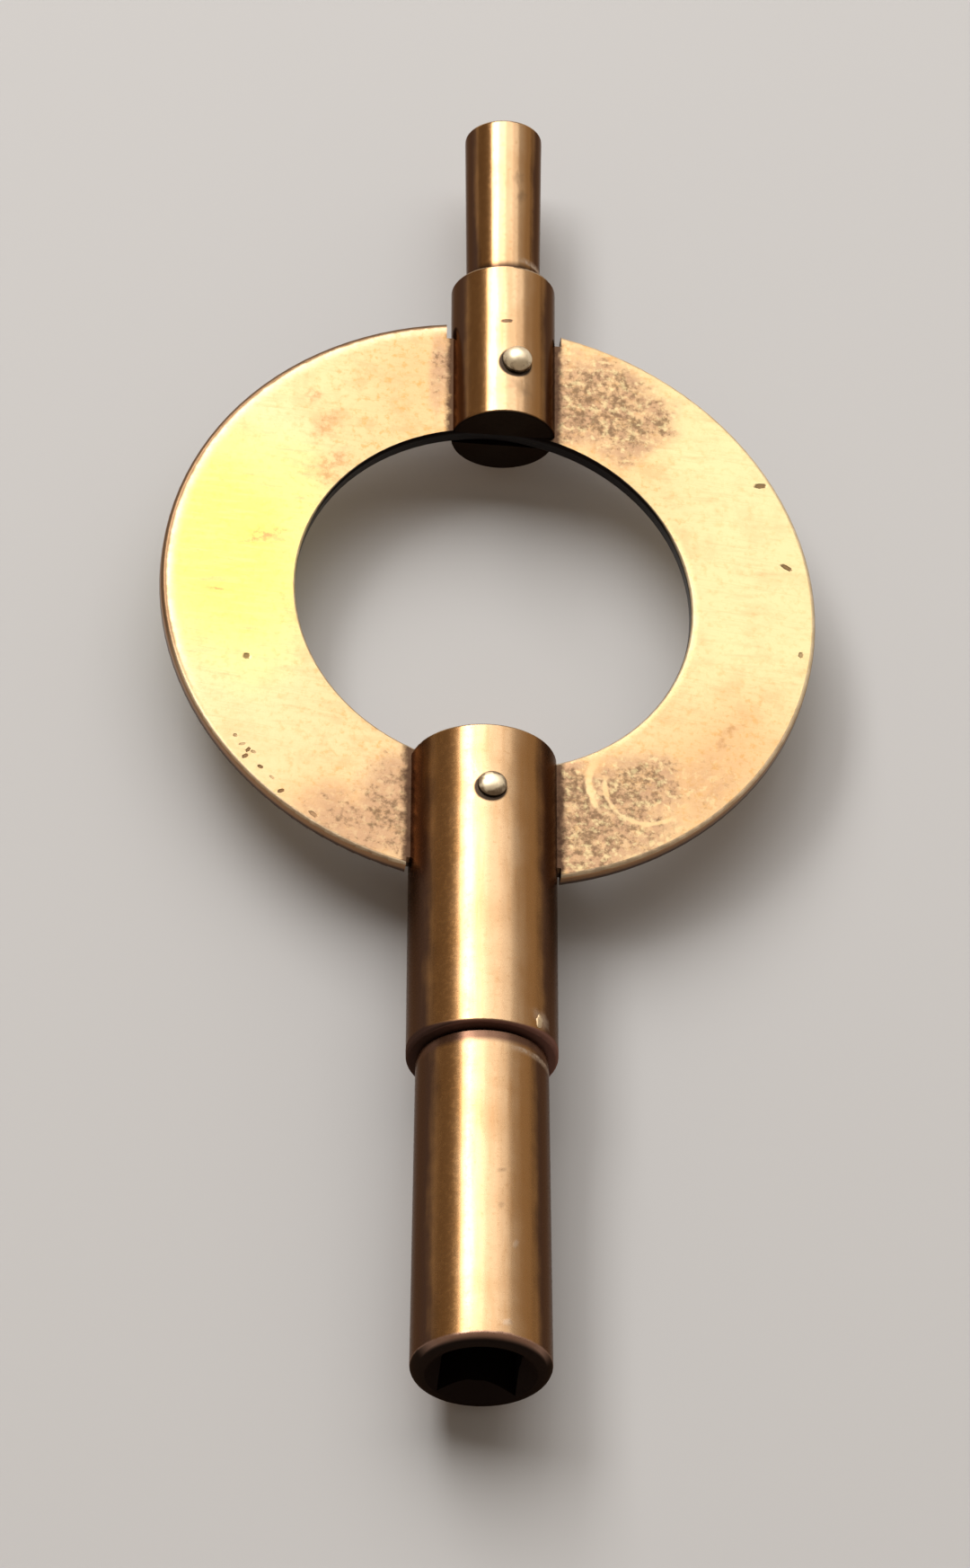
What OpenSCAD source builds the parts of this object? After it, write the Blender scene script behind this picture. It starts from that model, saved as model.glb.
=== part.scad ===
// Double-ended clock key. A flat ring bow is notched at both ends. A slotted sleeve straddles it at
// each notch, held by a cross pin with domed ends, and a barrel with a square socket is seated in
// the far end of each sleeve. The bow lies in XY with the middle of its eye at the origin. The
// winding end points along -Y, the smaller setting end along +Y. Millimetres.

/* [Bow] */
// Outside diameter of the ring
bow_d = 28; // [26:0.1:34]
// Diameter of the eye
eye_d = 16.9; // [13:0.1:18]
// Thickness of the plate
bow_t = 0.75; // [0.7:0.05:1.6]
// How far the rim's middle sits to one side of the eye's
rim_aside = -0.2; // [-0.5:0.01:0.5]
// Rounding of the plate's edges
bow_edge = 0.18; // [0.05:0.01:0.32]

/* [Winding sleeve] */
// How far the winding end sits to one side of the eye's middle
winding_offset = -0.4; // [-0.8:0.01:0.8]
// Diameter of the sleeve at its shoulder
winding_sleeve_d = 6.35; // [6:0.05:8]
// Diameter of the sleeve at the bow
winding_neck_d = 6.2; // [5.4:0.05:8]
// How far the sleeve stands out past the bow's rim
winding_stand = 8.6; // [6.5:0.1:16]
// How far the sleeve stands into the eye
winding_reach = 0.45; // [0.1:0.05:1.5]
// Depth of the bow's notch, from the outermost point of its rim
winding_notch = 0.8; // [0.6:0.05:1.6]
// Gap at each side of the sleeve in the bow's notch
winding_notch_gap = 0.1; // [0.03:0.01:0.3]

/* [Winding barrel] */
// Diameter of the barrel at the sleeve
winding_barrel_d = 5.55; // [5.2:0.05:6]
// Diameter of the barrel at its mouth
winding_mouth_d = 5.9; // [5.7:0.05:7]
// Length of the barrel that shows
winding_barrel_l = 15; // [12:0.1:24]
// Rounding of the mouth's outer edge
winding_mouth_edge = 0.45; // [0.1:0.05:0.5]
// Diameter of the spigot that seats in the sleeve
winding_spigot_d = 4.4; // [3.6:0.1:4.9]
// Length of the spigot
winding_spigot_l = 6; // [3:0.1:7]
// Width of the square socket across its flats
winding_square = 3.25; // [2.5:0.05:3.5]
// Depth of the square socket
winding_square_l = 9; // [5:0.1:9.5]
// Depth of the drilled hole that the square was broached from
winding_drill_l = 10.5; // [9.8:0.1:11]

/* [Setting collar] */
// How far the setting end sits to one side of the eye's middle
setting_offset = 0.42; // [-0.8:0.01:0.8]
// Diameter of the collar at its shoulder
setting_collar_d = 4.45; // [4.2:0.05:6]
// Diameter of the collar at the bow
setting_neck_d = 4.45; // [4.2:0.05:6]
// How far the collar stands out past the bow's rim
setting_stand = 1.88; // [1.5:0.02:6]
// How far the collar stands into the eye
setting_reach = 0.15; // [0.05:0.05:1.5]
// Depth of the bow's notch, from the outermost point of its rim
setting_notch = 0.9; // [0.6:0.05:1.6]
// Gap at each side of the collar in the bow's notch
setting_notch_gap = 0.25; // [0.03:0.01:0.3]

/* [Setting barrel] */
// Diameter of the barrel at the collar
setting_barrel_d = 3.15; // [3:0.05:4]
// Diameter of the barrel at its tip
setting_tip_d = 3.3; // [3:0.05:4]
// Length of the barrel that shows
setting_barrel_l = 8; // [7.2:0.1:14]
// Rounding of the tip's outer edge
setting_tip_edge = 0.16; // [0.05:0.01:0.3]
// Diameter of the spigot that seats in the collar
setting_spigot_d = 2.4; // [1.6:0.1:2.9]
// Length of the spigot
setting_spigot_l = 1.9; // [1:0.1:2.2]
// Width of the square socket across its flats
setting_square = 1.75; // [1.4:0.05:1.9]
// Depth of the square socket
setting_square_l = 5; // [3:0.1:5.2]
// Depth of the drilled hole that the square was broached from
setting_drill_l = 5.8; // [5.4:0.1:6.2]

/* [Cross pins] */
// Diameter of the winding end's pin
winding_pin_d = 1.2; // [0.8:0.05:1.5]
// How far the winding pin stands proud at each end
winding_pin_proud = 0.36; // [0.1:0.02:0.8]
// Diameter of the setting end's pin
setting_pin_d = 1.25; // [0.8:0.05:1.5]
// How far the setting pin stands proud at each end
setting_pin_proud = 0.56; // [0.1:0.02:0.8]
// How far the setting pin was drilled to one side of its collar's axis
setting_pin_aside = 0.32; // [-0.5:0.01:0.5]
// How far outwards from the middle of the bow's limb each pin sits
pin_shift = 0.22; // [-0.4:0.02:0.4]

/* [Edges and fits] */
// Rounding of the rims of the sleeve and the collar
rim_edge = 0.14; // [0.05:0.01:0.3]
// Chamfer of each barrel where it meets its sleeve
joint_chamfer = 0.22; // [0.05:0.01:0.3]
// Gap on each side of the bow in the slots
slot_gap = 0.02; // [0.01:0.005:0.06]
// Gap round the pins in the plate and in the sleeves
pin_gap = 0.02; // [0.01:0.005:0.06]
// Gap round and past the spigots in their bores
spigot_gap = 0.02; // [0.01:0.005:0.06]

/* [Hidden] */
$fn = 96;

bow_color = [0.80, 0.63, 0.42];
sleeve_color = [0.58, 0.43, 0.24];
barrel_color = [0.62, 0.47, 0.28];
pin_color = [0.82, 0.72, 0.48];

// Length of a cutter past the faces that it cuts
past = 1;
// Straight land beside each rounded rim
rim_land = 0.2;
// Land left between a socket's countersink and its barrel's rounded edge
mouth_land = 0.08;
// How far a countersink reaches past the corners of its square
countersink_past = 0.04;
// How far a drilled hole stands past the flats of its square
drill_past = 0.03;
// Depth of a drill's point for each unit of its radius
drill_point = 0.6;
// Chamfer of the hidden end of a spigot
spigot_chamfer = 0.2;
// Share of a pin's proud height that is dome
dome_share = 0.7;
// Share of the rounding that is left round the eye, where the faces cut it short
eye_edge_share = 0.94;

bow_r = bow_d / 2;
eye_r = eye_d / 2;

// Places along the key, measured outwards from the middle of the eye
winding_seat = bow_r - winding_notch;
winding_inner = eye_r - winding_reach;
winding_shoulder = bow_r + winding_stand;
winding_end = winding_shoulder + winding_barrel_l;
winding_pin_at = (eye_r + winding_seat) / 2 + pin_shift;
setting_seat = bow_r - setting_notch;
setting_inner = eye_r - setting_reach;
setting_shoulder = bow_r + setting_stand;
setting_end = setting_shoulder + setting_barrel_l;
setting_pin_at = (eye_r + setting_seat) / 2 + pin_shift;

// Carries one end's pieces to its side of the bow
module winding_side() {
  translate([winding_offset, 0, 0]) mirror([0, 1, 0]) children();
}

module setting_side() {
  translate([setting_offset, 0, 0]) children();
}

// A turned piece, from an outline whose height is its place along the key
module turned() {
  rotate([-90, 0, 0]) rotate_extrude() children();
}

// A straight or tapered bar between two places, with rounded rims
module bar_outline(from, to, from_r, to_r, edge) {
  polygon([
    [0, from],
    [from_r - edge, from],
    [from_r, from + edge],
    [from_r, from + edge + rim_land],
    [to_r, to - edge - rim_land],
    [to_r, to - edge],
    [to_r - edge, to],
    [0, to]
  ]);
  translate([from_r - edge, from + edge]) circle(r = edge);
  translate([to_r - edge, to - edge]) circle(r = edge);
}

// A sleeve, slotted from the bow's side down to its seat and bored from the other end
module sleeve(inner, shoulder, inner_d, shoulder_d, seat, bore_d, bore_l, pin_at, pin_aside, pin_d) {
  slot_t = bow_t + 2 * slot_gap;
  widest_d = max(inner_d, shoulder_d);
  difference() {
    turned() bar_outline(inner, shoulder, inner_d / 2, shoulder_d / 2, rim_edge);
    translate([-widest_d / 2 - past, inner - past, -slot_t / 2])
      cube([widest_d + 2 * past, seat - inner + past, slot_t]);
    translate([0, shoulder - bore_l, 0]) rotate([-90, 0, 0]) cylinder(d = bore_d, h = bore_l + past);
    translate([pin_aside, pin_at, 0])
      cylinder(d = pin_d + 2 * pin_gap, h = widest_d + 2 * past, center = true);
  }
}

// A barrel on its spigot, chamfered where it meets the sleeve and rounded at its open end
module barrel_outline(shoulder, end, shoulder_d, end_d, end_edge, spigot_d, spigot_l) {
  shoulder_r = shoulder_d / 2;
  end_r = end_d / 2;
  spigot_r = spigot_d / 2;
  root = shoulder - spigot_l;
  polygon([
    [0, root],
    [spigot_r - spigot_chamfer, root],
    [spigot_r, root + spigot_chamfer],
    [spigot_r, shoulder],
    [shoulder_r - joint_chamfer, shoulder],
    [shoulder_r, shoulder + joint_chamfer],
    [end_r, end - end_edge - rim_land],
    [end_r, end - end_edge],
    [end_r - end_edge, end],
    [0, end]
  ]);
  translate([end_r - end_edge, end - end_edge]) circle(r = end_edge);
}

// A square socket, broached in a drilled hole and countersunk at its mouth
module socket(end, square, square_l, drill_l) {
  drill_r = square / 2 + drill_past;
  mouth_r = square / sqrt(2) + countersink_past;
  translate([-square / 2, end - square_l, -square / 2]) cube([square, square_l + past, square]);
  translate([0, end, 0]) rotate([90, 0, 0]) {
    cylinder(r = drill_r, h = drill_l);
    translate([0, 0, drill_l]) cylinder(r1 = drill_r, r2 = 0, h = drill_r * drill_point);
    translate([0, 0, -past]) cylinder(r1 = mouth_r + past, r2 = 0, h = mouth_r + past);
  }
}

// The largest rounding that leaves a land round a square's countersink
function rounding(edge, end_d, square) =
  min(edge, end_d / 2 - square / sqrt(2) - countersink_past - mouth_land);

module barrel(shoulder, end, shoulder_d, end_d, end_edge, spigot_d, spigot_l, square, square_l, drill_l) {
  end_rounding = rounding(end_edge, end_d, square);
  difference() {
    turned()
      barrel_outline(shoulder, end, shoulder_d, end_d, end_rounding, spigot_d, spigot_l);
    socket(end, square, square_l, drill_l);
  }
}

// A straight pin through the plate, with a low dome at each end
module domed_pin(d, half_l, dome) {
  pin_r = d / 2;
  dome_r = (pin_r * pin_r + dome * dome) / (2 * dome);
  rotate_extrude() {
    translate([0, -half_l]) square([pin_r, 2 * half_l]);
    for (end = [0, 1])
      mirror([0, end, 0])
        intersection() {
          translate([0, half_l - dome]) square([pin_r, 2 * dome]);
          translate([0, half_l + dome - dome_r]) circle(r = dome_r);
        }
  }
}

// Half the height of a sleeve's skin where its pin comes out
function skin(inner, shoulder, inner_d, shoulder_d, pin_at, pin_aside) =
  let (r = inner_d / 2 + (shoulder_d - inner_d) / 2 * (pin_at - inner) / (shoulder - inner))
  sqrt(r * r - pin_aside * pin_aside);

module cross_pin(pin_at, pin_aside, d, skin_h, proud) {
  dome = proud * dome_share;
  translate([pin_aside, pin_at, 0]) domed_pin(d, skin_h + proud - dome, dome);
}

// The cut in the bow's rim that the solid part of a sleeve sits in
module notch(seat, width) {
  translate([-width / 2, seat, -bow_t])
    cube([width, bow_r - seat + past, 2 * bow_t]);
}

module pin_hole(pin_at, pin_aside, d) {
  translate([pin_aside, pin_at, 0]) cylinder(d = d + 2 * pin_gap, h = 2 * bow_t, center = true);
}

// Half section of the plate before the eye is cut, with a rounded rim
module plate_outline() {
  translate([0, -bow_t / 2]) square([bow_r - bow_edge, bow_t]);
  translate([0, bow_edge - bow_t / 2]) square([bow_r, bow_t - 2 * bow_edge]);
  for (side = [-1, 1])
    translate([bow_r - bow_edge, side * (bow_t / 2 - bow_edge)]) circle(r = bow_edge);
}

// Half section of the cut for the eye, flared so that it leaves a rounded edge on each face
module eye_outline() {
  flank = bow_t / 2 - eye_edge_share * bow_edge;
  difference() {
    translate([0, -bow_t]) square([eye_r + bow_edge, 2 * bow_t]);
    translate([eye_r, -flank]) square([2 * bow_edge, 2 * flank]);
    for (side = [-1, 1])
      translate([eye_r + bow_edge, side * flank]) circle(r = bow_edge);
  }
}

module bow() {
  color(bow_color)
    difference() {
      translate([rim_aside, 0, 0]) rotate_extrude() plate_outline();
      rotate_extrude() eye_outline();
      winding_side() {
        notch(winding_seat, max(winding_sleeve_d, winding_neck_d) + 2 * winding_notch_gap);
        pin_hole(winding_pin_at, 0, winding_pin_d);
      }
      setting_side() {
        notch(setting_seat, max(setting_collar_d, setting_neck_d) + 2 * setting_notch_gap);
        pin_hole(setting_pin_at, setting_pin_aside, setting_pin_d);
      }
    }
}

module winding_sleeve() {
  color(sleeve_color)
    winding_side()
      sleeve(winding_inner, winding_shoulder, winding_neck_d, winding_sleeve_d, winding_seat,
        winding_spigot_d + 2 * spigot_gap, winding_spigot_l + spigot_gap,
        winding_pin_at, 0, winding_pin_d);
}

module winding_barrel() {
  color(barrel_color)
    winding_side()
      barrel(winding_shoulder, winding_end, winding_barrel_d, winding_mouth_d, winding_mouth_edge,
        winding_spigot_d, winding_spigot_l, winding_square, winding_square_l, winding_drill_l);
}

module winding_pin() {
  skin_h = skin(winding_inner, winding_shoulder, winding_neck_d, winding_sleeve_d, winding_pin_at, 0);
  color(pin_color)
    winding_side() cross_pin(winding_pin_at, 0, winding_pin_d, skin_h, winding_pin_proud);
}

module setting_collar() {
  color(sleeve_color)
    setting_side()
      sleeve(setting_inner, setting_shoulder, setting_neck_d, setting_collar_d, setting_seat,
        setting_spigot_d + 2 * spigot_gap, setting_spigot_l + spigot_gap,
        setting_pin_at, setting_pin_aside, setting_pin_d);
}

module setting_barrel() {
  color(barrel_color)
    setting_side()
      barrel(setting_shoulder, setting_end, setting_barrel_d, setting_tip_d, setting_tip_edge,
        setting_spigot_d, setting_spigot_l, setting_square, setting_square_l, setting_drill_l);
}

module setting_pin() {
  skin_h = skin(setting_inner, setting_shoulder, setting_neck_d, setting_collar_d,
    setting_pin_at, setting_pin_aside);
  color(pin_color)
    setting_side()
      cross_pin(setting_pin_at, setting_pin_aside, setting_pin_d, skin_h, setting_pin_proud);
}

bow();
winding_sleeve();
winding_barrel();
winding_pin();
setting_collar();
setting_barrel();
setting_pin();
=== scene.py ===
"""Looks of a double-ended clock key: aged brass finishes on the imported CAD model, in a small studio.

The bow lies in XY with the middle of its eye at the origin. The winding end points along -Y and the
setting end along +Y. Metres throughout, apart from the lists of marks, which are in millimetres.
"""
import math

import bpy
import numpy as np
from mathutils import Matrix, Vector


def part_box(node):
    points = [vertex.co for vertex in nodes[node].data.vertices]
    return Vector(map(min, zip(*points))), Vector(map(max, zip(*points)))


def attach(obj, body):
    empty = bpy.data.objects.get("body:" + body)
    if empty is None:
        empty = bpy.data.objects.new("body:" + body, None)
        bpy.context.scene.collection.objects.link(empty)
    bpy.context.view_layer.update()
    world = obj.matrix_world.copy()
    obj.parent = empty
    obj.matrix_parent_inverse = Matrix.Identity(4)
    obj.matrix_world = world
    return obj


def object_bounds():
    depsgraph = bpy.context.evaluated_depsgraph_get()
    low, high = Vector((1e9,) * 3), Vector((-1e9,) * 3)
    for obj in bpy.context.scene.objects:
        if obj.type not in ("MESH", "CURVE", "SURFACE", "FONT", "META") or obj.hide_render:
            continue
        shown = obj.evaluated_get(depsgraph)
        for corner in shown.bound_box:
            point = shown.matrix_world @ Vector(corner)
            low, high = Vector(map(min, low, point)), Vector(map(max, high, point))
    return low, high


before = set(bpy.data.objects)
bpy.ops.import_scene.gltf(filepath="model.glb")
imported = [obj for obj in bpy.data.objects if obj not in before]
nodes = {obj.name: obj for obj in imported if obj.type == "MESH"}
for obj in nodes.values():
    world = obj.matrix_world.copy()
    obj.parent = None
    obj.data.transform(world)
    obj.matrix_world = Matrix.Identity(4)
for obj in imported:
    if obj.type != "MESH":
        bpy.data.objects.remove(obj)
cad_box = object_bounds()

MM = 0.001

# The view: its tilt to the winding end, its roll to the left, its lean, and the eye's place in it
VIEW_TILT = math.radians(32.10)
VIEW_ROLL = math.radians(7.50)
VIEW_LEAN = math.radians(0.15)
VIEW_DISTANCE = 0.56
VIEW_ASIDE = Vector((0.324 * MM, 7.672 * MM))
VIEW_LENS = 303.39
VIEW_SENSOR = 36.0
VIEW_NEAREST = 0.01

# Softboxes: degrees from overhead across and back, half width and height in degrees, and brightness
SOFTBOX_DISTANCE = 0.6
SOFTBOXES = {
    "key_strip": dict(across=-32.5, back=32.7, half_wide=9.0, half_high=24.0, glow=8.0),
    "key_panel": dict(across=-12.5, back=32.7, half_wide=11.0, half_high=24.0, glow=3.1),
    "middle_panel": dict(across=9.5, back=32.7, half_wide=11.0, half_high=24.0, glow=1.9),
    "fill_panel": dict(across=29.5, back=32.7, half_wide=9.5, half_high=24.0, glow=1.35),
    "edge_panel": dict(across=50.0, back=32.7, half_wide=11.0, half_high=24.0, glow=0.42),
    "side_panel": dict(across=73.0, back=32.7, half_wide=12.0, half_high=24.0, glow=0.36),
    "back_panel": dict(across=-4.0, back=69.0, half_wide=32.0, half_high=11.0, glow=1.3),
}
SOFTBOX_COLOR = (1.0, 0.98, 0.95)
ROOM_COLOR = (0.24, 0.195, 0.155, 1.0)

FLOOR_HALF = 3.0
FLOOR_GREY = (0.58, 0.58, 0.585, 1.0)
FLOOR_ROUGHNESS = 0.9
FLOOR_GLOSS = 0.1

# Brass tones, as a plain white light shows them, and the colours of painted highlights
CREAM_BRASS = (0.585, 0.475, 0.255, 1.0)
TAN_BRASS = (0.56, 0.385, 0.20, 1.0)
PEACH_BRASS = (0.51, 0.305, 0.145, 1.0)
PINK_BRASS = (0.56, 0.40, 0.22, 1.0)
# The colour of a painted highlight on the bow's left limb
YELLOW_HIGHLIGHT_BRASS = (0.72, 0.60, 0.145, 1.0)
SMUDGE_BRASS = (0.46, 0.25, 0.075, 1.0)
SMUDGE_BROWN = (0.36, 0.205, 0.095, 1.0)
GOLD_BRASS = (0.56, 0.37, 0.21, 1.0)
AMBER_BRASS = (0.47, 0.285, 0.145, 1.0)
RUSSET_BRASS = (0.38, 0.185, 0.062, 1.0)
# The colour of painted highlights on edges
PAINTED_EDGE_HIGHLIGHT = (0.90, 0.74, 0.52, 1.0)
PIN_BRASS = (1.0, 0.86, 0.62, 1.0)
EDGE_TINT = (0.62, 0.52, 0.46, 1.0)

# Tarnish, dirt, solder and painted shade on the brass
BROWN_FILM = (0.370, 0.228, 0.133, 1.0)
BROWN_TARNISH = (0.17, 0.105, 0.060, 1.0)
PIT_BROWN = (0.085, 0.038, 0.013, 1.0)
# Painted shade along the flanks of the turned pieces
FLANK_SHADE_BROWN = (0.074, 0.040, 0.030, 1.0)
# Painted shade on the mouth's rounded edge
MOUTH_SHADE_BROWN = (0.56, 0.34, 0.25, 1.0)
RIM_BROWN = (0.34, 0.18, 0.085, 1.0)
RIM_DARK = (0.085, 0.050, 0.034, 1.0)
RIM_LINE = (0.165, 0.090, 0.046, 1.0)
# Dirt in crevices and dark marks, and painted shade along the bow's crevices and at the setting root
DIRT_AND_SHADE_BROWN = (0.060, 0.032, 0.020, 1.0)
# Painted shade on the winding sleeve's end
END_SHADE_BROWN = (0.235, 0.118, 0.092, 1.0)
# Dirt and painted shade at the winding barrel's root
ROOT_DIRT_AND_SHADE_BROWN = (0.135, 0.070, 0.047, 1.0)
# Painted shade, near black, on ends, in sockets and in the eye, and with dirt round the pins
SHADE_AND_GRIME_BLACK = (0.012, 0.009, 0.008, 1.0)
SOLDER_GREY = (0.60, 0.46, 0.34, 1.0)
FLECK_BRASS = (0.72, 0.56, 0.36, 1.0)

# How rough each finish is, and how deep its relief
BOW_SATIN = 0.34
WINDING_SATIN = 0.245
SETTING_SATIN = 0.19
PIN_SATIN = 0.44
SOLDER_SATIN = 0.55
BOW_RELIEF = 0.004 * MM
TURNED_RELIEF = 0.008 * MM
PIN_RELIEF = 0.04 * MM
SOLDER_RELIEF = 0.008 * MM

# Factors on a place that draw noise out: across the bow, along a turned piece and round it
WIPED_ACROSS = (0.14, 1.0, 1.0)
DRAWN_ALONG = (1.0, 0.10, 1.0)
CUT_ROUND = (0.15, 1.0, 0.15)

# Factors on a vector that keep only its part in the XY plane
IN_PLANE = (1.0, 1.0, 0.0)

# The bow's edges: how wide they roll at the rim and at the eye, the eye's radius, the rim line's shift
RIM_ROLL = 0.55 * MM
EYE_ROLL = 0.40 * MM
EYE_RADIUS = 8.45 * MM
RIM_WEAR_ASIDE = 0.06 * MM

# How far its pits and its rolled edges go down, in depths of its relief
PIT_FALL = 6.0
RIM_FALL = 16.0
EYE_FALL = 11.0

# How deep a mark is that goes right through the plate, in millimetres
BLOT_DEEP = 8.0

# Marks on the bow, most of them after how strong they are
# The first is a painted yellow highlight on the left limb
YELLOW_HIGHLIGHT_LIMB = dict(x=-11.3, y=1.8, long=15.5, wide=10.0, turn=83.0, soft=0.75, ragged=0.4)
RUBBED_LIMB = dict(x=9.0, y=7.6, long=9.0, wide=6.4, turn=-45.0, soft=0.95)
PEACH_PATCHES = [
    (1.0, dict(x=9.6, y=-7.6, long=13.0, wide=8.5, turn=52.0, soft=0.95)),
    (0.6, dict(x=-3.1, y=11.2, long=6.4, wide=6.0, turn=15.0, soft=0.95)),
    (1.0, dict(x=-6.2, y=-11.2, long=8.0, wide=4.6, turn=-32.0, soft=0.95)),
]
SMUDGES = [
    (1.0, dict(x=-9.72, y=2.36, long=2.6, wide=1.2, turn=12.0, soft=0.95, ragged=1.6)),
    (1.0, dict(x=-7.75, y=9.63, long=1.1, wide=1.0, soft=0.95, ragged=1.0)),
    (1.0, dict(x=-7.16, y=8.30, long=2.6, wide=1.6, turn=40.0, soft=0.95, ragged=1.6)),
    (1.0, dict(x=-6.9, y=6.2, long=3.0, wide=1.8, turn=48.0, soft=0.95, ragged=1.6)),
    (1.0, dict(x=10.20, y=-5.70, long=1.5, wide=0.8, turn=20.0, soft=0.95, ragged=1.8)),
    (1.0, dict(x=9.70, y=-6.40, long=1.0, wide=0.6, turn=60.0, soft=0.95, ragged=1.8)),
    (1.0, dict(x=-11.86, y=-0.55, long=1.8, wide=0.24, turn=-3.0, soft=0.8, ragged=0.8)),
]
BROWN_PATCHES = [
    (1.0, dict(x=5.0, y=10.1, long=7.6, wide=6.2, turn=-35.0, soft=0.6, ragged=0.7)),
    (0.75, dict(x=3.0, y=11.2, long=4.4, wide=6.8, soft=0.9)),
    (1.0, dict(x=6.2, y=-9.0, long=6.0, wide=5.2, turn=20.0, soft=0.85, ragged=0.7)),
    (1.0, dict(x=4.4, y=-11.0, long=11.6, wide=8.0, turn=22.0, soft=0.85)),
    (0.9, dict(x=3.4, y=-9.6, long=3.2, wide=6.0, soft=0.8)),
    (1.0, dict(x=-3.5, y=-10.8, long=8.0, wide=7.6, turn=75.0, soft=0.9)),
    (1.0, dict(x=-3.5, y=-10.6, long=6.4, wide=3.0, turn=85.0, soft=0.8)),
    (0.72, dict(x=-6.0, y=-11.8, long=8.4, wide=5.0, turn=-33.0, soft=0.95)),
    # Brown speckles beside the collar's left side, darkened by a painted reflection of the collar's dark
    # flank
    (0.7, dict(x=-2.3, y=11.4, long=1.7, wide=6.8, soft=0.9)),
    (0.38, dict(x=9.2, y=-8.4, long=8.0, wide=5.6, turn=48.0, soft=0.95)),
]
RUBBED_ARCS = [
    (1.0, dict(x=6.05, y=-8.90, radius=2.00, wide=0.42, turn=182.0, reach=1.62)),
    (0.75, dict(x=6.48, y=-8.98, radius=1.75, wide=0.30, turn=240.0, reach=0.55)),
]
DARK_STROKES = [
    (0.6, dict(x=3.50, y=-9.05, long=1.5, wide=0.18, turn=86.0)),
    (0.6, dict(x=3.84, y=-9.15, long=1.3, wide=0.15, turn=89.0)),
]
PITS = [
    (0.95, dict(x=-10.49, y=-3.81, long=0.40, wide=0.35, soft=0.6)),
    (0.7, dict(x=-10.93, y=-7.79, long=0.20, wide=0.16, ragged=0.9)),
    (0.5, dict(x=-10.62, y=-8.20, long=0.34, wide=0.12, turn=10.0, ragged=0.9)),
    (1.0, dict(x=-10.38, y=-8.46, long=0.30, wide=0.16, turn=50.0, ragged=0.8)),
    (1.0, dict(x=-10.50, y=-8.78, long=0.34, wide=0.18, turn=35.0, ragged=0.9)),
    (0.6, dict(x=-10.15, y=-8.55, long=0.26, wide=0.14, turn=-20.0, ragged=0.9)),
    (1.0, dict(x=-9.85, y=-9.26, long=0.28, wide=0.17, turn=-30.0, ragged=0.8)),
    (0.4, dict(x=-9.35, y=-9.75, long=0.30, wide=0.12, turn=-40.0, ragged=0.9)),
    (1.0, dict(x=-8.97, y=-10.38, long=0.34, wide=0.18, turn=25.0, ragged=0.7)),
    (0.6, dict(x=-7.59, y=-11.42, long=0.50, wide=0.20, turn=-40.0, ragged=0.9)),
    (1.0, dict(x=11.49, y=6.71, long=0.60, wide=0.26, turn=6.0, ragged=0.7)),
    (1.0, dict(x=12.58, y=2.64, long=0.62, wide=0.22, turn=-30.0, ragged=0.7)),
    (0.75, dict(x=13.15, y=-1.72, long=0.24, wide=0.30, ragged=0.9)),
]

# Marks on the turned pieces: the dark ones after how strong they are, the pale ones by themselves
COLLAR_MARKS = [
    (0.80, dict(x=0.31, y=12.97, z=2.22, long=0.62, wide=0.17, turn=4.0)),
    (0.30, dict(x=0.83, y=9.67, z=2.19, long=1.5, wide=1.0, turn=-60.0, deep=1.4, soft=0.95, ragged=1.6)),
]
TIP_STAINS = [
    (0.28, dict(x=0.87, y=20.91, z=1.55, long=1.0, wide=0.6, turn=80.0, deep=1.0, soft=0.95, ragged=1.4)),
    (0.28, dict(x=1.03, y=20.00, z=1.48, long=0.9, wide=0.5, turn=70.0, deep=1.0, soft=0.95, ragged=1.4)),
]
BARREL_DENTS = [
    (0.30, dict(x=0.11, y=-29.48, z=2.80, long=0.7, wide=0.3, turn=20.0, soft=0.9)),
    (0.25, dict(x=0.07, y=-31.16, z=2.83, long=0.5, wide=0.35, turn=60.0, soft=0.9)),
]
BARREL_FLECKS = [
    dict(x=0.66, y=-32.86, z=2.68, long=0.6, wide=0.3, turn=70.0, soft=0.8, ragged=0.7),
    dict(x=0.29, y=-36.67, z=2.87, long=0.6, wide=0.4, turn=20.0, soft=0.8, ragged=0.7),
]
SLEEVE_SMEARS = [
    dict(x=1.75, y=-21.85, z=2.32, long=1.2, wide=0.9, turn=-55.0, deep=1.6, soft=0.9, ragged=1.0),
]


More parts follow.
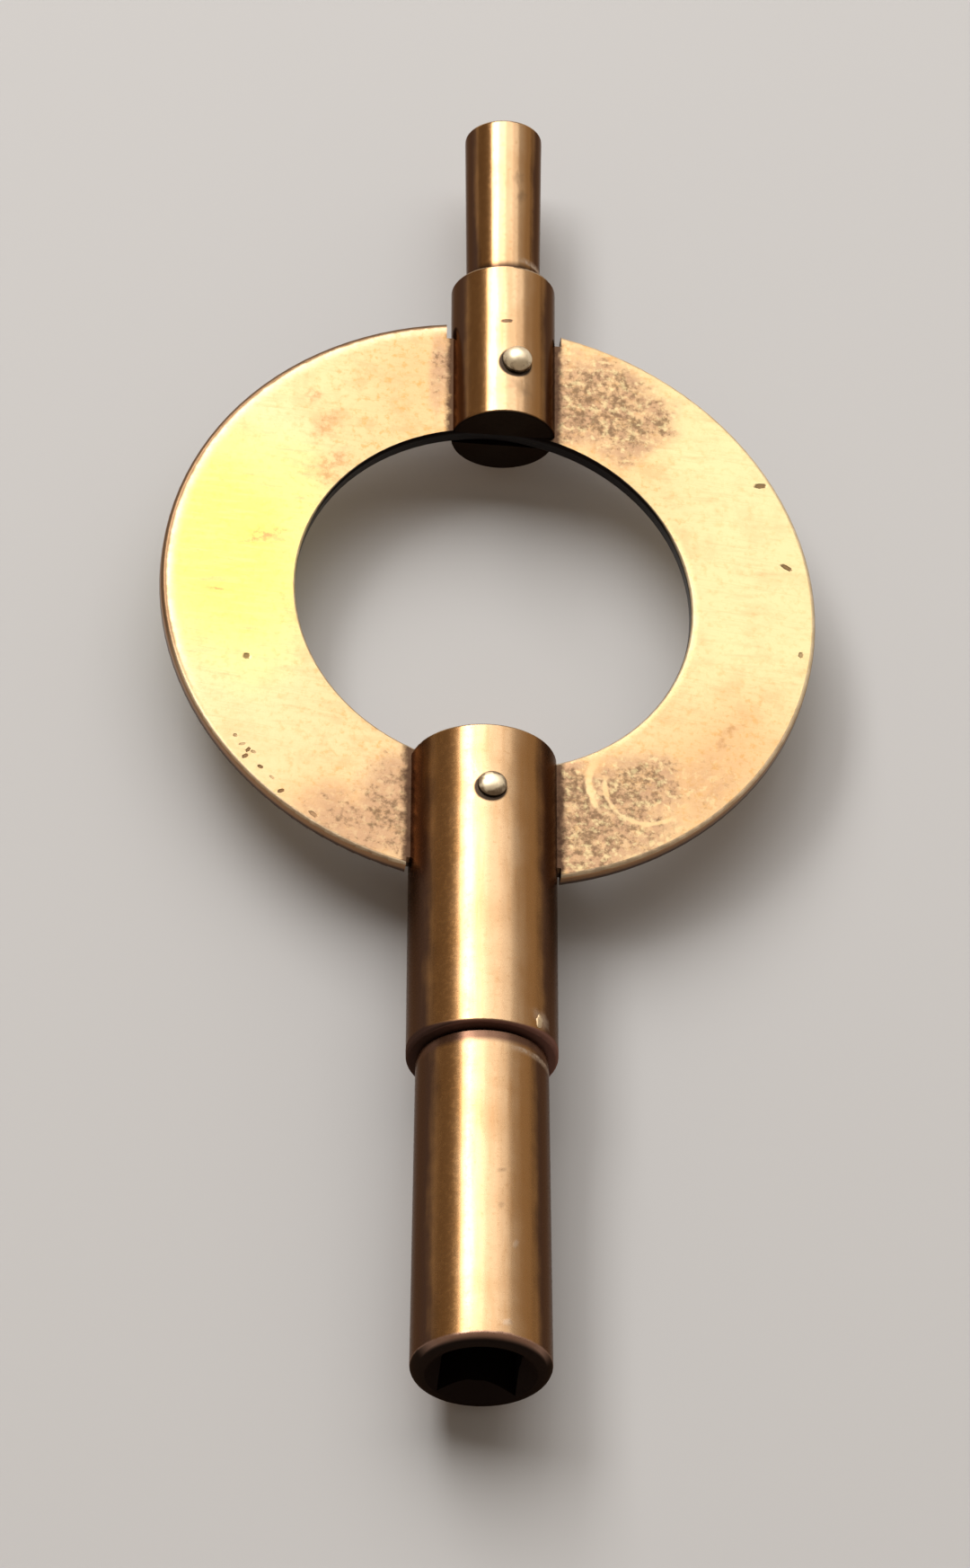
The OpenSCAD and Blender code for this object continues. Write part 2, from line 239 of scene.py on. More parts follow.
class Graph:
    """Builds one node tree. Each method that makes a node gives the output that carries its result."""

    def __init__(self, tree):
        self.tree = tree

    def feed(self, socket, value):
        """Links an output to the socket, or sets a plain value on it."""
        if isinstance(value, bpy.types.NodeSocket):
            self.tree.links.new(value, socket)
        else:
            socket.default_value = value

    def add(self, kind, inputs=None, **settings):
        """A node of that kind, with its settings made and its inputs fed."""
        made = self.tree.nodes.new(kind)
        for name, setting in settings.items():
            setattr(made, name, setting)
        for key, value in (inputs or {}).items():
            self.feed(made.inputs[key], value)
        return made

    def group(self, tree, inputs):
        """All the outputs of a node group that is placed here."""
        return self.add("ShaderNodeGroup", inputs, node_tree=tree).outputs

    def math(self, operation, first, second=0.0, clamp=False):
        """A number worked out from one or two others."""
        made = self.add("ShaderNodeMath", {0: first, 1: second}, operation=operation, use_clamp=clamp)
        return made.outputs[0]

    def plus(self, first, second, clamp=False):
        """The sum, kept from 0 to 1 if clamped."""
        return self.math("ADD", first, second, clamp)

    def minus(self, first, second, clamp=False):
        """The difference, kept from 0 to 1 if clamped."""
        return self.math("SUBTRACT", first, second, clamp)

    def share(self, mask, amount):
        """The mask times an amount, which may be a mask too."""
        return self.math("MULTIPLY", mask, amount)

    def inverse(self, mask):
        """One less the mask."""
        return self.minus(1.0, mask)

    def centred(self, noise):
        """Noise from 0 to 1, less a half."""
        return self.minus(noise, 0.5)

    def most(self, *masks):
        """The largest of several masks."""
        joined = masks[0]
        for mask in masks[1:]:
            joined = self.math("MAXIMUM", joined, mask)
        return joined

    def ramp(self, value, start, end, low=0.0, high=1.0):
        """Low up to start, high from end on, and a smooth change between them."""
        inputs = {0: value, 1: start, 2: end, 3: low, 4: high}
        return self.add("ShaderNodeMapRange", inputs, interpolation_type="SMOOTHSTEP").outputs[0]

    def fade(self, value, start, end):
        """1 up to start, 0 from end on, and a smooth fall between them."""
        return self.ramp(value, start, end, low=1.0, high=0.0)

    def vector(self, operation, first, second=(0.0, 0.0, 0.0)):
        """A vector worked out from one or two others."""
        return self.add("ShaderNodeVectorMath", {0: first, 1: second}, operation=operation).outputs[0]

    def combined(self, x, y, z):
        """A vector made of its three parts."""
        return self.add("ShaderNodeCombineXYZ", {0: x, 1: y, 2: z}).outputs[0]

    def parts(self, at):
        """The three parts of a vector."""
        return self.add("ShaderNodeSeparateXYZ", {0: at}).outputs

    def turned(self, at, angle):
        """A vector turned by that angle about Z."""
        inputs = {"Vector": at, "Angle": angle}
        return self.add("ShaderNodeVectorRotate", inputs, rotation_type="Z_AXIS").outputs[0]

    def dot(self, first, second):
        """The sum of the products of two vectors' parts."""
        inputs = {0: first, 1: second}
        return self.add("ShaderNodeVectorMath", inputs, operation="DOT_PRODUCT").outputs["Value"]

    def length(self, first):
        """The root of the sum of the squares of a vector's parts."""
        return self.add("ShaderNodeVectorMath", {0: first}, operation="LENGTH").outputs["Value"]

    def blend(self, share, first, second):
        """First colour at share 0 and second at share 1."""
        inputs = {0: share, 6: first, 7: second}
        return self.add("ShaderNodeMix", inputs, data_type="RGBA").outputs[2]

    def noise(self, at, size, detail=3.0, roughness=0.5):
        """Cloudy noise from 0 to 1 whose features are about as wide as size."""
        inputs = {"Vector": at, "Scale": 1.0 / size, "Detail": detail, "Roughness": roughness}
        return self.add("ShaderNodeTexNoise", inputs).outputs[0]

    def object_place(self):
        """The place on the surface, in the key's own frame."""
        return self.add("ShaderNodeTexCoord").outputs["Object"]

    def surface_normal(self):
        """The three parts of the direction that the surface faces."""
        return self.parts(self.add("ShaderNodeNewGeometry").outputs["Normal"])


def shader_group(name, inputs, outputs):
    """A node group with named sockets: its tree, its graph, its entry sockets and its exit sockets."""
    tree = bpy.data.node_groups.new(name, "ShaderNodeTree")
    for socket, start in inputs.items():
        kind = "NodeSocketVector" if isinstance(start, tuple) else "NodeSocketFloat"
        made = tree.interface.new_socket(socket, in_out="INPUT", socket_type=kind)
        made.default_value = start
    for socket in outputs:
        tree.interface.new_socket(socket, in_out="OUTPUT", socket_type="NodeSocketFloat")
    entry = tree.nodes.new("NodeGroupInput").outputs
    leave = tree.nodes.new("NodeGroupOutput").inputs
    return tree, Graph(tree), entry, leave


def tarnish_group():
    """Grains of tarnish: two sizes of cloudy noise, added, that count as tarnished above a level.

    The level falls as Cover rises from 0 to 1, and Edge is how softly a grain ends.
    """
    inputs = {"Place": (0.0, 0.0, 0.0), "Size": 1.0, "Cover": 0.5, "Edge": 0.1}
    tree, graph, entry, leave = shader_group("tarnish", inputs, ["Mask"])
    at = graph.vector("DIVIDE", entry["Place"], entry["Size"])
    coarse = graph.noise(at, 1.0, detail=5.0, roughness=0.72)
    fine = graph.noise(at, 0.4, detail=3.0, roughness=0.7)
    level = graph.plus(graph.share(coarse, 0.55), graph.share(fine, 0.45))
    middle = graph.minus(0.68, graph.share(entry["Cover"], 0.30))
    start = graph.minus(middle, entry["Edge"])
    end = graph.plus(middle, entry["Edge"])
    graph.feed(leave["Mask"], graph.ramp(level, start, end))
    return tree


def hairline_group():
    """Fine scratches: noise drawn out along one direction, of which only the crests count.

    Turn is the direction in the XY plane, Long and Wide the noise's size along and across it, and
    Amount the share of crests that show.
    """
    inputs = {"Place": (0.0, 0.0, 0.0), "Turn": 0.0, "Long": 1.0, "Wide": 1.0, "Amount": 0.2}
    tree, graph, entry, leave = shader_group("hairlines", inputs, ["Mask"])
    turned = graph.turned(entry["Place"], entry["Turn"])
    stretch = graph.combined(entry["Long"], entry["Wide"], entry["Wide"])
    crests = graph.noise(graph.vector("DIVIDE", turned, stretch), 1.0, detail=2.0, roughness=0.6)
    start = graph.minus(0.72, graph.share(entry["Amount"], 0.25))
    end = graph.plus(start, 0.05)
    graph.feed(leave["Mask"], graph.ramp(crests, start, end))
    return tree


def mark_group():
    """One long spot: 1 inside a boxy ellipsoid round Middle, falling to 0 at its skin, with ragged edges.

    The distance is the cube root of the sum of the cubes along, across and through it.

    Turn is the spot's direction in the XY plane, Long and Wide its size along and across it, Deep its
    size along Z, Soft the share of the radius over which it fades, and Ragged how far noise moves its skin.
    """
    inputs = {
        "Place": (0.0, 0.0, 0.0), "Middle": (0.0, 0.0, 0.0), "Turn": 0.0,
        "Long": 1.0, "Wide": 1.0, "Deep": 1.0, "Soft": 0.4, "Ragged": 0.3,
    }
    tree, graph, entry, leave = shader_group("mark", inputs, ["Mask"])
    away = graph.vector("SUBTRACT", entry["Place"], entry["Middle"])
    turned = graph.turned(away, graph.share(entry["Turn"], -1.0))
    size = graph.combined(entry["Long"], entry["Wide"], entry["Deep"])
    scaled = graph.vector("DIVIDE", turned, graph.vector("MULTIPLY", size, (0.5, 0.5, 0.5)))
    squares = graph.vector("MULTIPLY", scaled, scaled)
    cubes = graph.vector("ABSOLUTE", graph.vector("MULTIPLY", scaled, squares))
    boxy = graph.math("POWER", graph.dot(cubes, (1.0, 1.0, 1.0)), 1.0 / 3.0)
    wobble = graph.centred(graph.noise(scaled, 0.7, detail=3.0))
    radius = graph.plus(boxy, graph.share(wobble, entry["Ragged"]))
    graph.feed(leave["Mask"], graph.fade(radius, graph.inverse(entry["Soft"]), 1.0))
    return tree


TARNISH = tarnish_group()
HAIRLINES = hairline_group()
MARK = mark_group()


class Piece:
    """Sizes of one CAD node, read from its box: its middle, its ends along Y, half its width and height."""

    def __init__(self, name):
        low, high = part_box(name)
        self.name = name
        self.aside = (low.x + high.x) / 2
        self.along = (low.y + high.y) / 2
        self.low, self.high = low.y, high.y
        self.radius = (high.x - low.x) / 2
        self.half_thick = (high.z - low.z) / 2


BOW = Piece("bow")
WINDING_SLEEVE = Piece("winding_sleeve")
WINDING_BARREL = Piece("winding_barrel")
WINDING_PIN = Piece("winding_pin")
SETTING_COLLAR = Piece("setting_collar")
SETTING_BARREL = Piece("setting_barrel")
SETTING_PIN = Piece("setting_pin")


def brass_material(name):
    """A metal material, its graph and its shader node."""
    material = bpy.data.materials.new(name)
    material.use_nodes = True
    shader = material.node_tree.nodes["Principled BSDF"]
    shader.inputs["Metallic"].default_value = 1.0
    return material, Graph(material.node_tree), shader


def finish_brass(graph, shader, color, roughness, height, depth):
    """Feeds a brass shader with its colour, its roughness and a relief of that depth."""
    bump = graph.add("ShaderNodeBump", {"Height": height, "Distance": depth, "Strength": 1.0})
    graph.feed(shader.inputs["Base Color"], color)
    graph.feed(shader.inputs["Roughness"], roughness)
    graph.feed(shader.inputs["Normal"], bump.outputs[0])


def flat_length(graph, at, aside=0.0, along=0.0):
    """How far a place lies in the XY plane from the point at those two distances from the eye's middle."""
    away = graph.vector("SUBTRACT", at, (aside, along, 0.0))
    return graph.length(graph.vector("MULTIPLY", away, IN_PLANE))


def spot(graph, at, x, y, long, wide, turn=0.0, z=None, deep=0.5, soft=0.4, ragged=0.3):
    """A mark at x, y and z in millimetres, on the bow's upper face if z isn't given."""
    place = (x * MM, y * MM, BOW.half_thick if z is None else z * MM)
    inputs = {
        "Place": at, "Middle": place, "Turn": math.radians(turn), "Long": long * MM, "Wide": wide * MM,
        "Deep": deep * MM, "Soft": soft, "Ragged": ragged,
    }
    return graph.group(MARK, inputs)["Mask"]


def blot(graph, at, x, y, long, wide, turn=0.0, soft=0.7, ragged=0.5):
    """A soft mark that goes right through the plate, so that both faces carry it."""
    return spot(graph, at, x, y, long, wide, turn, z=0.0, deep=BLOT_DEEP, soft=soft, ragged=ragged)


def strongest(graph, at, shape, marks):
    """Several marks of one shape as one mask: the largest of the marks' masks times their strengths."""
    return graph.most(*[graph.share(shape(graph, at, **mark), strength) for strength, mark in marks])


def bow_tones(graph, at, x, y, to_rim):
    """The bow's tones: cream limbs, tan by the collar, pink to peach by the sleeve, and a painted yellow
    highlight.
    """
    uneven = graph.centred(graph.noise(at, 5.0 * MM, detail=4.0, roughness=0.6))
    limbs = graph.ramp(graph.math("ABSOLUTE", x), 4.0 * MM, 10.5 * MM)
    rubbed = graph.plus(limbs, graph.share(uneven, 0.8), clamp=True)
    rubbed = graph.most(rubbed, blot(graph, at, **RUBBED_LIMB))
    color = graph.blend(rubbed, TAN_BRASS, CREAM_BRASS)
    lower = graph.plus(graph.fade(y, -10.0 * MM, -1.5 * MM), graph.share(uneven, 0.7), clamp=True)
    color = graph.blend(graph.share(lower, 0.8), color, PINK_BRASS)
    wiped = graph.noise(graph.vector("MULTIPLY", at, WIPED_ACROSS), 0.30 * MM, detail=4.0, roughness=0.6)
    # A painted yellow highlight on the left limb, streaked by the wipe lines and kept off the rim
    yellow = graph.share(blot(graph, at, **YELLOW_HIGHLIGHT_LIMB), graph.ramp(wiped, 0.45, 0.75, low=1.0, high=0.55))
    yellow = graph.share(yellow, graph.ramp(to_rim, 0.10 * MM, 0.65 * MM))
    color = graph.blend(yellow, color, YELLOW_HIGHLIGHT_BRASS)
    peach = strongest(graph, at, blot, PEACH_PATCHES)
    color = graph.blend(graph.share(peach, 0.8), color, PEACH_BRASS)

    mottle = graph.noise(at, 1.3 * MM, detail=5.0, roughness=0.65)
    grain = graph.noise(at, 0.34 * MM, detail=4.0, roughness=0.7)
    handled = graph.most(peach, graph.inverse(rubbed))
    worked = graph.plus(0.35, graph.share(handled, 0.65))
    color = graph.blend(graph.share(graph.ramp(mottle, 0.46, 0.68, high=0.8), worked), color, PEACH_BRASS)
    color = graph.blend(graph.share(graph.ramp(grain, 0.48, 0.70, high=0.75), worked), color, SMUDGE_BRASS)
    color = graph.blend(graph.ramp(wiped, 0.52, 0.72, high=0.35), color, PEACH_BRASS)
    smudges = strongest(graph, at, blot, SMUDGES)
    smudges = graph.share(smudges, graph.ramp(grain, 0.36, 0.62, low=0.15, high=0.75))
    return graph.blend(smudges, color, SMUDGE_BROWN)


def rubbed_arc(graph, at, rough, x, y, radius, wide, turn, reach):
    """A stroke rubbed round a point: 1 on a circle of that radius, 0 beyond half its width, on one side only.

    Rough is noise that frays it, turn the direction from the point to the stroke's middle, and reach how
    far that way its ends lie.
    """
    away = graph.vector("MULTIPLY", graph.vector("SUBTRACT", at, (x * MM, y * MM, 0.0)), IN_PLANE)
    off = graph.math("ABSOLUTE", graph.minus(graph.length(away), radius * MM))
    off = graph.plus(off, graph.share(graph.centred(rough), 0.8 * wide * MM))
    line = graph.fade(off, 0.10 * wide * MM, 0.55 * wide * MM)
    ahead = graph.dot(away, (math.cos(math.radians(turn)), math.sin(math.radians(turn)), 0.0))
    return graph.share(line, graph.ramp(ahead, (reach - 0.3) * MM, (reach + 0.3) * MM))


def bow_tarnish(graph, at, x, color):
    """Mottled brown patches beside the sleeves: the bow's colour with them, and the mask of their grains.

    The patches are eaten into by noise and rubbed through along two arcs. A brown film covers them, then
    come darker grains, bright flecks and two dark strokes. The film is thinner on the right limb.
    """
    patches = strongest(graph, at, blot, BROWN_PATCHES)
    worn = graph.noise(at, 0.60 * MM, detail=4.0, roughness=0.64)
    eaten = graph.centred(graph.noise(at, 1.5 * MM, detail=6.0, roughness=0.72))
    eaten = graph.share(eaten, graph.ramp(patches, 0.0, 0.35, high=0.7))
    patches = graph.plus(patches, eaten, clamp=True)
    rubbed = graph.most(*[
        graph.share(rubbed_arc(graph, at, worn, **arc), strength) for strength, arc in RUBBED_ARCS
    ])
    patches = graph.share(patches, graph.inverse(graph.share(rubbed, 0.9)))

    right_limb = graph.ramp(x, -2.0 * MM, 0.0)
    thinnest = graph.minus(0.80, graph.share(right_limb, 0.36))
    film = graph.share(graph.ramp(patches, 0.05, 0.7), graph.ramp(worn, 0.38, 0.60, thinnest, 0.95))
    color = graph.blend(film, color, BROWN_FILM)
    cover = graph.share(patches, graph.plus(0.52, graph.share(right_limb, 0.10)))
    grains = graph.group(TARNISH, {"Place": at, "Size": 0.54 * MM, "Cover": cover, "Edge": 0.09})["Mask"]
    grains = graph.share(grains, graph.ramp(patches, 0.0, 0.5))
    color = graph.blend(graph.share(grains, 0.80), color, BROWN_TARNISH)
    flecks = graph.ramp(graph.noise(at, 0.38 * MM, detail=3.0, roughness=0.6), 0.50, 0.68, high=0.62)
    flecks = graph.share(flecks, graph.plus(0.35, graph.share(right_limb, 0.65)))
    flecks = graph.share(flecks, graph.ramp(patches, 0.1, 0.5))
    color = graph.blend(graph.most(flecks, graph.share(rubbed, 0.4)), color, CREAM_BRASS)
    color = graph.blend(strongest(graph, at, blot, DARK_STROKES), color, BROWN_TARNISH)
    return color, grains


def bow_crevice_dirt_and_shade(graph, x, y, rough):
    """Dirt and painted shade on the bow along the sides of the collar and of the sleeve: 1 at their sides, 0
    further out.
    """
    strips = []
    for piece in (SETTING_COLLAR, WINDING_SLEEVE):
        gap = graph.minus(graph.math("ABSOLUTE", graph.minus(x, piece.aside)), piece.radius)
        gap = graph.plus(gap, graph.share(graph.centred(rough), 0.6 * MM))
        strips.append(graph.fade(gap, 0.06 * MM, 0.40 * MM))
    to_setting = graph.ramp(y, -1.0 * MM, 1.0 * MM)
    return graph.plus(graph.share(strips[0], to_setting), graph.share(strips[1], graph.inverse(to_setting)))


def rolled_edge(graph, distance, width, side):
    """A worn edge's fall: the square of one less the distance over the width, on one side of the bow."""
    rolled = graph.minus(1.0, graph.math("DIVIDE", distance, width), clamp=True)
    return graph.share(graph.share(rolled, rolled), side)


def bow_brass():
    """Satin sheet brass, tarnished beside the sleeves, brown on its rim, painted highlights on its worn
    edges, painted shade in its eye.
    """
    material, graph, shader = brass_material("bow_sheet_brass")
    at = graph.object_place()
    x, y, z = graph.parts(at)
    to_rim = graph.minus(BOW.radius, flat_length(graph, at, BOW.aside))
    fine = graph.noise(at, 0.5 * MM, detail=4.0, roughness=0.65)
    color, grains = bow_tarnish(graph, at, x, bow_tones(graph, at, x, y, to_rim))
    pits = strongest(graph, at, spot, PITS)
    color = graph.blend(graph.share(pits, 0.86), color, PIT_BROWN)
    scratches = graph.group(
        HAIRLINES, {"Place": at, "Turn": 0.12, "Long": 3.0 * MM, "Wide": 0.06 * MM, "Amount": 0.5}
    )["Mask"]
    color = graph.blend(graph.share(scratches, 0.12), color, SMUDGE_BRASS)
    # Dirt and painted shade along the collar and the sleeve
    color = graph.blend(graph.share(bow_crevice_dirt_and_shade(graph, x, y, fine), 0.96), color, DIRT_AND_SHADE_BROWN)

    # Painted highlights on the rounded edges, and inside the rim's left side a painted highlight band with a
    # brown line along it
    _, normal_y, normal_z = graph.surface_normal()
    rounded = graph.share(graph.ramp(normal_z, 0.3, 0.6), graph.fade(normal_z, 0.93, 0.99))
    color = graph.blend(graph.share(rounded, graph.ramp(fine, 0.3, 0.6, 0.9, 0.5)), color, PAINTED_EDGE_HIGHLIGHT)
    worn_rim = graph.minus(BOW.radius, flat_length(graph, at, BOW.aside + RIM_WEAR_ASIDE))
    worn_rim = graph.plus(worn_rim, graph.share(graph.centred(fine), 0.12 * MM))
    outer_left = graph.share(graph.ramp(y, -8.0 * MM, -2.0 * MM), graph.fade(x, -3.0 * MM, 5.0 * MM))
    band = graph.ramp(worn_rim, 0.22 * MM, 0.70 * MM, low=0.36, high=0.0)
    band = graph.share(band, graph.ramp(fine, 0.36, 0.62, low=0.5, high=1.2))
    color = graph.blend(graph.share(band, outer_left), color, PAINTED_EDGE_HIGHLIGHT)
    line = graph.ramp(worn_rim, 0.15 * MM, 0.27 * MM, low=0.95, high=0.0)
    color = graph.blend(graph.share(line, outer_left), color, RIM_LINE)

    # The walls of the rim and of the eye, with painted shade, near black, on the eye's wall and on its edge
    # that faces the winding end
    walls = graph.fade(graph.math("ABSOLUTE", normal_z), 0.3, 0.7)
    wall_color = graph.blend(graph.ramp(z, -0.12 * MM, 0.06 * MM), RIM_DARK, RIM_BROWN)
    in_eye = graph.fade(graph.length(at), EYE_RADIUS + 0.35 * MM, EYE_RADIUS + 0.95 * MM)
    wall_color = graph.blend(in_eye, wall_color, SHADE_AND_GRIME_BLACK)
    shaded_eye_edge = graph.share(in_eye, graph.fade(normal_y, -0.45, -0.1))
    color = graph.blend(graph.most(walls, shaded_eye_edge), color, wall_color)

    roughness = graph.plus(BOW_SATIN, graph.share(grains, 0.2))
    roughness = graph.plus(roughness, graph.share(rounded, 0.18))
    relief = graph.plus(graph.share(fine, 0.4), graph.noise(at, 0.12 * MM, detail=2.0))
    relief = graph.minus(relief, graph.share(scratches, 0.3))
    relief = graph.minus(relief, graph.share(pits, PIT_FALL))
    relief = graph.minus(relief, graph.share(rolled_edge(graph, to_rim, RIM_ROLL, outer_left), RIM_FALL))
    to_eye = graph.minus(flat_length(graph, at), EYE_RADIUS)
    near_side = graph.ramp(graph.minus(graph.share(x, 0.8), y), -2.0 * MM, 3.0 * MM)
    relief = graph.minus(relief, graph.share(rolled_edge(graph, to_eye, EYE_ROLL, near_side), EYE_FALL))
    finish_brass(graph, shader, color, roughness, relief, BOW_RELIEF)
    return material


def turned_brass(
    piece, satin, pin=None, root=None, root_reach=0.0, root_tone=DIRT_AND_SHADE_BROWN, socket=0.0, mouth=False,
    lip=0.0, end=SHADE_AND_GRIME_BLACK, dark=(), pale=(),
):
    """Turned brass in mottled gold, with painted shade that turns it russet and then dark towards its two
    flanks.

    Satin is its roughness and pin the pin that comes out of it. Root is the place along Y where the piece
    meets its sleeve, root_reach how far the darkening goes from there and root_tone its colour, grime in
    the joint with painted shade. Socket is the radius inside which the piece is painted dark as shade, and
    mouth tells whether its open end is browned with painted shade, on its rounded edge and its lower side.
    Lip is how far the painted shade climbs its flanks from its end on the winding side, and end is the
    colour of that painted shade. Dark and pale are marks as the spot function takes them, the dark ones
    each after its strength.
    """
    material, graph, shader = brass_material(piece.name + "_brass")
    shader.inputs["Specular Tint"].default_value = EDGE_TINT
    at = graph.object_place()
    x, y, z = graph.parts(at)
    aside = graph.minus(x, piece.aside)
    from_axis = graph.length(graph.combined(aside, 0.0, z))
    _, normal_y, _ = graph.surface_normal()
    towards_winding = graph.share(normal_y, -1.0)
    on_side = graph.ramp(graph.math("ABSOLUTE", normal_y), 0.6, 0.95, low=1.0, high=0.6)
    flank = graph.share(graph.math("DIVIDE", graph.math("ABSOLUTE", aside), from_axis), on_side)
    left_half = graph.fade(aside, -0.05 * MM, 0.05 * MM)

    # Mottled gold, then painted shade: russet towards the flanks and dark along them, a little further out on
    # the left
    clouds = graph.noise(at, 2.6 * MM, detail=3.0, roughness=0.55)
    drawn = graph.noise(graph.vector("MULTIPLY", at, DRAWN_ALONG), 0.42 * MM, detail=4.0, roughness=0.6)
    grain = graph.noise(at, 0.22 * MM, detail=4.0, roughness=0.7)
    color = graph.blend(graph.ramp(clouds, 0.38, 0.68, high=0.7), GOLD_BRASS, AMBER_BRASS)
    color = graph.blend(graph.ramp(drawn, 0.45, 0.75, high=0.35), color, RUSSET_BRASS)
    color = graph.blend(graph.ramp(grain, 0.52, 0.78, high=0.35), color, RUSSET_BRASS)
    wobble = graph.plus(graph.share(clouds, 0.20), graph.share(drawn, 0.12))
    flank = graph.plus(flank, graph.minus(wobble, 0.16))
    color = graph.blend(graph.ramp(flank, 0.20, 0.56, high=0.9), color, RUSSET_BRASS)
    dark_flank = graph.minus(flank, graph.share(left_half, 0.08))
    color = graph.blend(graph.ramp(dark_flank, 0.60, 0.79, high=0.95), color, FLANK_SHADE_BROWN)
    # A painted highlight on the rounded edges that face the setting end
    far_edge = graph.share(graph.ramp(normal_y, 0.15, 0.45), graph.fade(normal_y, 0.85, 0.98))
    color = graph.blend(graph.share(far_edge, 0.6), color, PAINTED_EDGE_HIGHLIGHT)

    # Painted shade on the faces towards the winding end, on the mouth's lower side, up the flanks by the lip,
    # and inside the piece's own socket
    if mouth:
        color = graph.blend(graph.ramp(towards_winding, 0.03, 0.22), color, MOUTH_SHADE_BROWN)
        under = graph.fade(z, 0.8 * MM, 2.75 * MM)
        under = graph.share(under, graph.ramp(towards_winding, 0.03, 0.25))
        painted_shade = graph.most(graph.ramp(towards_winding, 0.35, 0.85), under)
    else:
        painted_shade = graph.ramp(towards_winding, 0.25, 0.7)
    if lip:
        climb = graph.share(graph.share(flank, flank), lip)
        up = graph.minus(graph.minus(y, piece.low), climb)
        painted_shade = graph.most(painted_shade, graph.fade(up, 0.0, 0.14 * MM))
    if socket:
        painted_shade = graph.most(painted_shade, graph.fade(from_axis, socket - 0.1 * MM, socket))

    # Dirt and painted shade at the root, with a line of solder past it on the right
    if root is not None:
        gap = graph.math("ABSOLUTE", graph.minus(y, root))
        gap = graph.plus(gap, graph.share(graph.centred(clouds), 0.2 * MM))
        line = graph.share(
            graph.ramp(gap, root_reach + 0.08 * MM, root_reach + 0.20 * MM),
            graph.fade(gap, root_reach + 0.22 * MM, root_reach + 0.50 * MM),
        )
        line = graph.share(line, graph.ramp(aside, 0.2 * piece.radius, 0.5 * piece.radius))
        color = graph.blend(graph.share(line, graph.ramp(grain, 0.35, 0.6, 0.3, 0.9)), color, SOLDER_GREY)
        root_dirt_and_shade = graph.fade(gap, root_reach - 0.15 * MM, root_reach + 0.22 * MM)
        color = graph.blend(graph.share(root_dirt_and_shade, 0.96), color, root_tone)
    if pin:
        # A dark ring round the pin, wider to the left and towards the winding end: crevice dirt with the
        # pin's painted shadow
        from_pin = flat_length(graph, at, pin.aside - 0.07 * MM, pin.along - 0.12 * MM)
        ring = graph.fade(from_pin, pin.radius + 0.04 * MM, pin.radius + 0.16 * MM)
        color = graph.blend(graph.share(ring, 0.97), color, SHADE_AND_GRIME_BLACK)
    # The painted shade is drawn in the end colour, turning black towards the left flank
    left_end = graph.share(graph.ramp(flank, 0.20, 0.60, high=0.75), left_half)
    color = graph.blend(graph.share(painted_shade, 0.98), color, graph.blend(left_end, end, SHADE_AND_GRIME_BLACK))

    cut = graph.noise(graph.vector("MULTIPLY", at, CUT_ROUND), 0.09 * MM, detail=2.0)
    relief = graph.plus(graph.share(cut, 0.10), graph.share(drawn, 0.20))
    relief = graph.plus(relief, graph.share(graph.noise(at, 3.0 * MM, detail=2.0), 1.6))
    for strength, mark in dark:
        mask = spot(graph, at, **mark)
        color = graph.blend(graph.share(mask, strength), color, DIRT_AND_SHADE_BROWN)
        relief = graph.minus(relief, graph.share(mask, 2.0 * strength))
    for mark in pale:
        mask = spot(graph, at, **mark)
        color = graph.blend(graph.share(mask, 0.55), color, SOLDER_GREY)
        relief = graph.plus(relief, graph.share(mask, 0.4))

    roughness = graph.plus(satin, graph.ramp(grain, 0.4, 0.8, high=0.08))
    roughness = graph.plus(roughness, graph.share(painted_shade, 0.4))
    finish_brass(graph, shader, color, roughness, relief, TURNED_RELIEF)
    return material


def pin_brass(piece, worn):
    """Bright worn brass on a pin's hammered end, brown outside that share of its radius: tarnish, with
    painted shade on the dome's sides.
    """
    material, graph, shader = brass_material(piece.name + "_brass")
    at = graph.object_place()
    mottle = graph.noise(at, 0.3 * MM, detail=4.0)
    hammered = graph.noise(at, 0.7 * MM, detail=1.0)
    color = graph.blend(graph.ramp(mottle, 0.5, 0.8, high=0.3), PIN_BRASS, AMBER_BRASS)
    out = graph.math("DIVIDE", flat_length(graph, at, piece.aside, piece.along), piece.radius)
    out = graph.plus(out, graph.centred(mottle))
    # Brown on the dome's sides: tarnish with painted shade
    color = graph.blend(graph.ramp(out, worn - 0.12, worn + 0.25, high=0.85), color, BROWN_TARNISH)
    relief = graph.plus(graph.share(mottle, 0.10), hammered)
    finish_brass(graph, shader, color, PIN_SATIN, relief, PIN_RELIEF)
    return material


def solder_brass():
    """Pale, rough solder, coloured by the brass under it."""
    material, graph, shader = brass_material("solder_fleck_brass")
    mottle = graph.noise(graph.object_place(), 0.10 * MM, detail=4.0)
    color = graph.blend(graph.ramp(mottle, 0.45, 0.75, high=0.5), FLECK_BRASS, AMBER_BRASS)
    finish_brass(graph, shader, color, SOLDER_SATIN, mottle, SOLDER_RELIEF)
    return material


